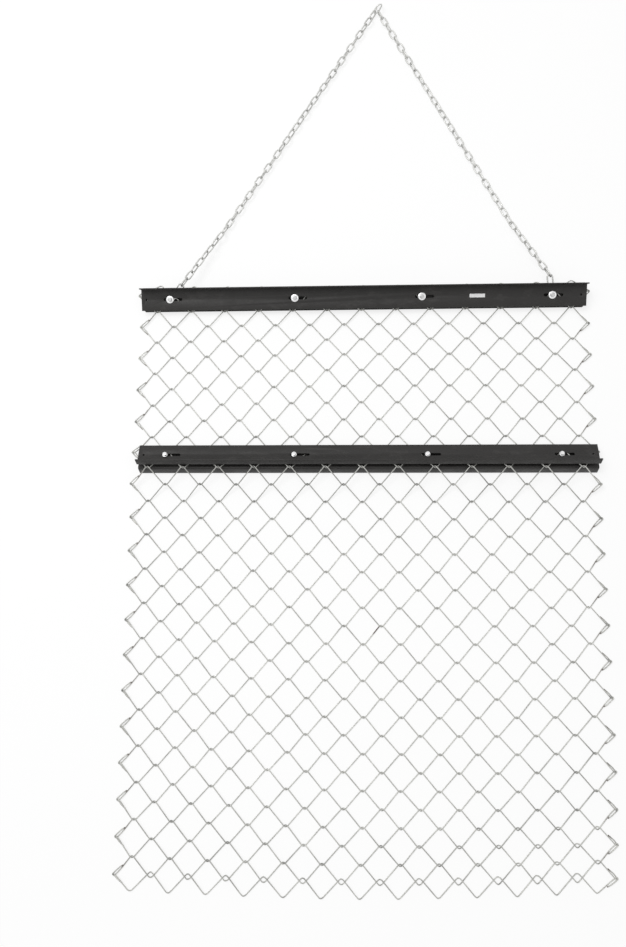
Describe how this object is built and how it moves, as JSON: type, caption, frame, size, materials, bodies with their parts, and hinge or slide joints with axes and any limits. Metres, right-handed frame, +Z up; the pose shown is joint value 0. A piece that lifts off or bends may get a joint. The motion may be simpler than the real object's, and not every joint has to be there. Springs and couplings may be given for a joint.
{
  "type": "drag harrow mat",
  "caption": "Flat drag mat of hinged woven wire rows, clamped in two slotted steel bars and towed by a V of chain that ends in one pull link.",
  "frame": {"origin": "on the ground, under the middle of the whole part as it lies spread out, chain included", "axes": "+Y is the way the mat is towed, +X is to the right of it, +Z is up"},
  "size_m": [1.1954, 2.3862, 0.0621],
  "materials": {
    "woven_wire": "galvanised, satin",
    "rail_paint": "satin black paint",
    "fasteners": "bright zinc",
    "chain_steel": "bright zinc"
  },
  "bodies": {
    "front_bar": {"mesh_pair_01": "woven_wire", "front_upper_rail": "rail_paint", "front_lower_rail": "rail_paint", "front_bolt_1": "fasteners", "front_washer_1": "fasteners", "front_nut_1": "fasteners", "front_bolt_2": "fasteners", "front_washer_2": "fasteners", "front_nut_2": "fasteners", "front_bolt_3": "fasteners", "front_washer_3": "fasteners", "front_nut_3": "fasteners", "front_bolt_4": "fasteners", "front_washer_4": "fasteners", "front_nut_4": "fasteners", "chain_end_loop_left": "chain_steel", "chain_end_loop_right": "chain_steel"},
    "mesh_pair_02": {"mesh_pair_02": "woven_wire"},
    "mesh_pair_03": {"mesh_pair_03": "woven_wire"},
    "mesh_pair_04": {"mesh_pair_04": "woven_wire"},
    "mesh_pair_05": {"mesh_pair_05": "woven_wire"},
    "second_bar": {"mesh_pair_06": "woven_wire", "second_upper_rail": "rail_paint", "second_lower_rail": "rail_paint", "second_bolt_1": "fasteners", "second_washer_1": "fasteners", "second_nut_1": "fasteners", "second_bolt_2": "fasteners", "second_washer_2": "fasteners", "second_nut_2": "fasteners", "second_bolt_3": "fasteners", "second_washer_3": "fasteners", "second_nut_3": "fasteners", "second_bolt_4": "fasteners", "second_washer_4": "fasteners", "second_nut_4": "fasteners"},
    "mesh_pair_07": {"mesh_pair_07": "woven_wire"},
    "mesh_pair_08": {"mesh_pair_08": "woven_wire"},
    "mesh_pair_09": {"mesh_pair_09": "woven_wire"},
    "mesh_pair_10": {"mesh_pair_10": "woven_wire"},
    "mesh_pair_11": {"mesh_pair_11": "woven_wire"},
    "mesh_pair_12": {"mesh_pair_12": "woven_wire"},
    "mesh_pair_13": {"mesh_pair_13": "woven_wire"},
    "mesh_pair_14": {"mesh_pair_14": "woven_wire"},
    "mesh_pair_15": {"mesh_pair_15": "woven_wire"},
    "mesh_pair_16": {"mesh_pair_16": "woven_wire"},
    "mesh_pair_17": {"mesh_pair_17": "woven_wire"},
    "mesh_pair_18": {"mesh_pair_18": "woven_wire"},
    "chain_span_1": {"chain_left_1": "chain_steel", "chain_right_1": "chain_steel"},
    "chain_span_2": {"chain_left_2": "chain_steel", "chain_right_2": "chain_steel"},
    "chain_span_3": {"chain_left_3": "chain_steel", "chain_right_3": "chain_steel"},
    "chain_span_4": {"chain_left_4": "chain_steel", "chain_right_4": "chain_steel"},
    "chain_span_5": {"chain_left_5": "chain_steel", "chain_right_5": "chain_steel"},
    "pull_link": {"pull_link": "chain_steel"}
  },
  "joints": [
    {"name": "weave_hinge_01", "type": "hinge", "parent": "front_bar", "child": "mesh_pair_02", "pos_m": [0, 0.26692, 0.00958], "axis": [1, 0, 0], "range_deg": [-55, 75]},
    {"name": "weave_hinge_02", "type": "hinge", "parent": "mesh_pair_02", "child": "mesh_pair_03", "pos_m": [0, 0.18053, 0.00521], "axis": [-1, 0, 0], "range_deg": [-75, 75]},
    {"name": "weave_hinge_03", "type": "hinge", "parent": "mesh_pair_03", "child": "mesh_pair_04", "pos_m": [0, 0.09403, 0.00521], "axis": [1, 0, 0], "range_deg": [-80, 80]},
    {"name": "weave_hinge_04", "type": "hinge", "parent": "mesh_pair_04", "child": "mesh_pair_05", "pos_m": [0, 0.00753, 0.00521], "axis": [-1, 0, 0], "range_deg": [-80, 80]},
    {"name": "weave_hinge_05", "type": "hinge", "parent": "mesh_pair_05", "child": "second_bar", "pos_m": [0, -0.07897, 0.00521], "axis": [1, 0, 0], "range_deg": [-60, 75]},
    {"name": "weave_hinge_06", "type": "hinge", "parent": "second_bar", "child": "mesh_pair_07", "pos_m": [0, -0.16146, 0.03099], "axis": [-1, 0, 0], "range_deg": [-25, 60]},
    {"name": "weave_hinge_07", "type": "hinge", "parent": "mesh_pair_07", "child": "mesh_pair_08", "pos_m": [0, -0.24402, 0.00521], "axis": [1, 0, 0], "range_deg": [-60, 75]},
    {"name": "weave_hinge_08", "type": "hinge", "parent": "mesh_pair_08", "child": "mesh_pair_09", "pos_m": [0, -0.33052, 0.00521], "axis": [-1, 0, 0], "range_deg": [-80, 80]},
    {"name": "weave_hinge_09", "type": "hinge", "parent": "mesh_pair_09", "child": "mesh_pair_10", "pos_m": [0, -0.41702, 0.00521], "axis": [1, 0, 0], "range_deg": [-80, 80]},
    {"name": "weave_hinge_10", "type": "hinge", "parent": "mesh_pair_10", "child": "mesh_pair_11", "pos_m": [0, -0.50352, 0.00521], "axis": [-1, 0, 0], "range_deg": [-80, 80]},
    {"name": "weave_hinge_11", "type": "hinge", "parent": "mesh_pair_11", "child": "mesh_pair_12", "pos_m": [0, -0.59002, 0.00521], "axis": [1, 0, 0], "range_deg": [-80, 80]},
    {"name": "weave_hinge_12", "type": "hinge", "parent": "mesh_pair_12", "child": "mesh_pair_13", "pos_m": [0, -0.67652, 0.00521], "axis": [-1, 0, 0], "range_deg": [-80, 80]},
    {"name": "weave_hinge_13", "type": "hinge", "parent": "mesh_pair_13", "child": "mesh_pair_14", "pos_m": [0, -0.76302, 0.00521], "axis": [1, 0, 0], "range_deg": [-80, 80]},
    {"name": "weave_hinge_14", "type": "hinge", "parent": "mesh_pair_14", "child": "mesh_pair_15", "pos_m": [0, -0.84952, 0.00521], "axis": [-1, 0, 0], "range_deg": [-80, 80]},
    {"name": "weave_hinge_15", "type": "hinge", "parent": "mesh_pair_15", "child": "mesh_pair_16", "pos_m": [0, -0.93602, 0.00521], "axis": [1, 0, 0], "range_deg": [-80, 80]},
    {"name": "weave_hinge_16", "type": "hinge", "parent": "mesh_pair_16", "child": "mesh_pair_17", "pos_m": [0, -1.02252, 0.00521], "axis": [-1, 0, 0], "range_deg": [-80, 80]},
    {"name": "weave_hinge_17", "type": "hinge", "parent": "mesh_pair_17", "child": "mesh_pair_18", "pos_m": [0, -1.10902, 0.00521], "axis": [1, 0, 0], "range_deg": [-80, 80]},
    {"name": "chain_hinge_1", "type": "hinge", "parent": "front_bar", "child": "chain_span_1", "pos_m": [0.00747, 0.34002, 0.04224], "axis": [0.9999, 0.0117, 0.0042], "range_deg": [-12, 60]},
    {"name": "chain_hinge_2", "type": "hinge", "parent": "chain_span_1", "child": "chain_span_2", "pos_m": [0.01792, 0.51133, 0.01094], "axis": [-1, -0.0015, 0], "range_deg": [-32, 32]},
    {"name": "chain_hinge_3", "type": "hinge", "parent": "chain_span_2", "child": "chain_span_3", "pos_m": [0.02335, 0.677, 0.01094], "axis": [0.9999, 0.013, 0], "range_deg": [-32, 32]},
    {"name": "chain_hinge_4", "type": "hinge", "parent": "chain_span_3", "child": "chain_span_4", "pos_m": [0.02879, 0.84267, 0.01094], "axis": [-0.9994, -0.0359, 0], "range_deg": [-32, 32]},
    {"name": "chain_hinge_5", "type": "hinge", "parent": "chain_span_4", "child": "chain_span_5", "pos_m": [0.03423, 1.00835, 0.01094], "axis": [0.9945, 0.1046, 0], "range_deg": [-32, 32]},
    {"name": "pull_link_hinge", "type": "hinge", "parent": "chain_span_5", "child": "pull_link", "pos_m": [0.04381, 1.15915, 0.01094], "axis": [-0.9063, 0.4226, 0], "range_deg": [-15, 15]}
  ]
}
